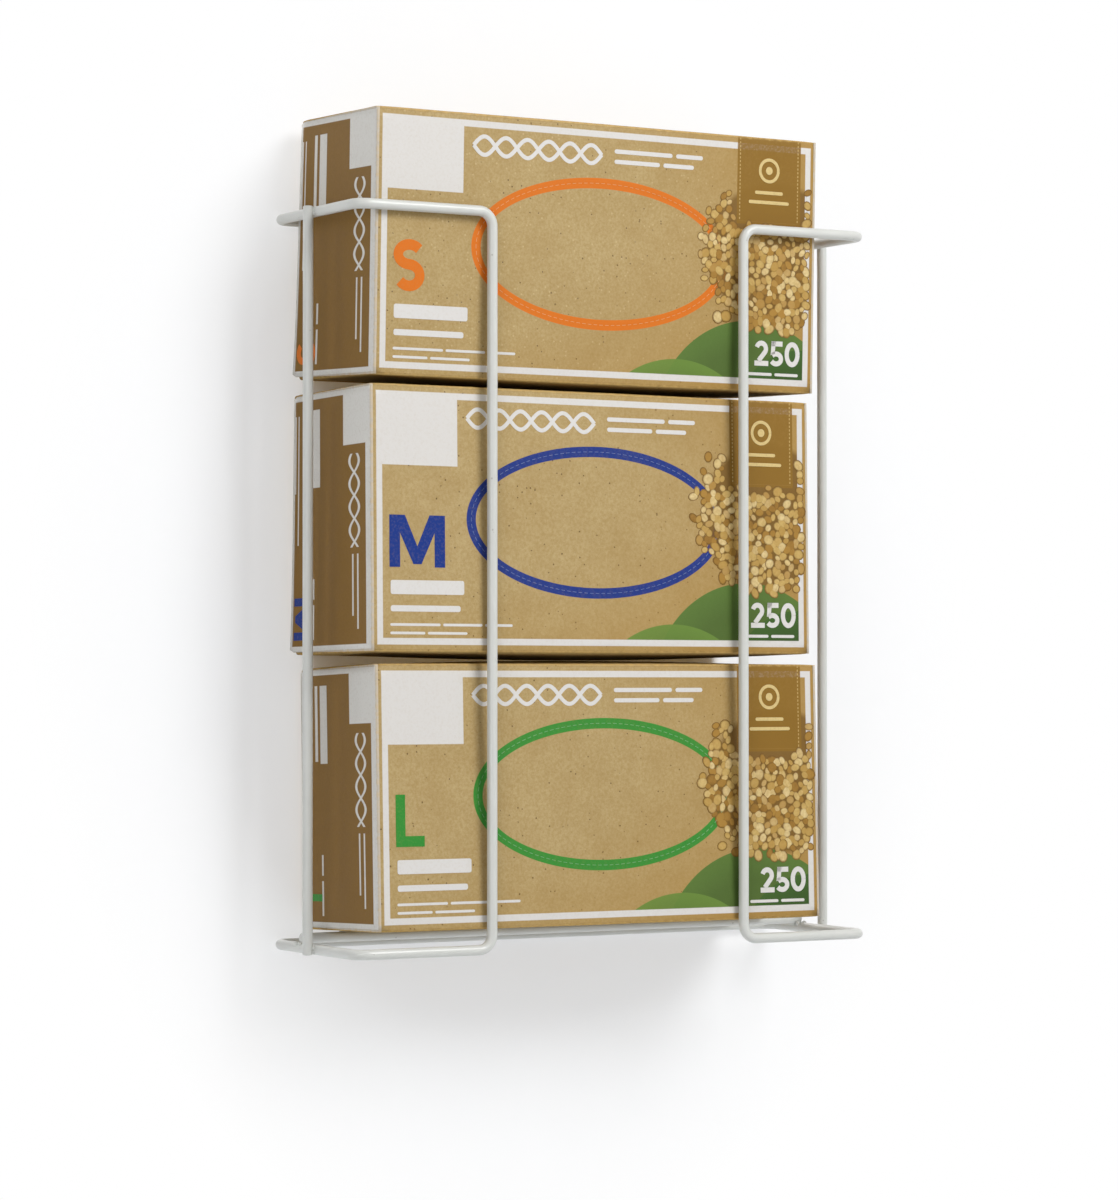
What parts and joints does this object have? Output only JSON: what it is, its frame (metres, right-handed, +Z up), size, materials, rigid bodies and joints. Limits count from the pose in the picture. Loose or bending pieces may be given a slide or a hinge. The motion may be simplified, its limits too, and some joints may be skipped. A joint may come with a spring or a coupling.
{
  "type": "disposable glove dispenser",
  "caption": "Wall rack of bent white wire holding stacked cartons of disposable gloves, pulled out through oval tear-out panels between the front wires.",
  "frame": {"origin": "under the middle of the rack, level with the underside of its lower loop", "axes": "+Z up along the front wires, +X to the right along the wall, +Y into the wall"},
  "size_m": [0.2884, 0.0874, 0.3877],
  "materials": {
    "powder_coat": "satin white powder coat on steel wire",
    "carton_large_print": "unbleached folding board with green and white print",
    "carton_medium_print": "unbleached folding board with blue and white print",
    "carton_small_print": "unbleached folding board with orange and white print"
  },
  "bodies": {
    "root": {"frame_wire": "powder_coat", "left_upright": "powder_coat", "right_upright": "powder_coat", "shelf_wire": "powder_coat", "mount_tab_top_left": "powder_coat", "mount_tab_top_right": "powder_coat", "mount_tab_bottom_left": "powder_coat", "mount_tab_bottom_right": "powder_coat", "carton_large": "carton_large_print", "carton_medium": "carton_medium_print", "carton_small": "carton_small_print"}
  },
  "joints": []
}
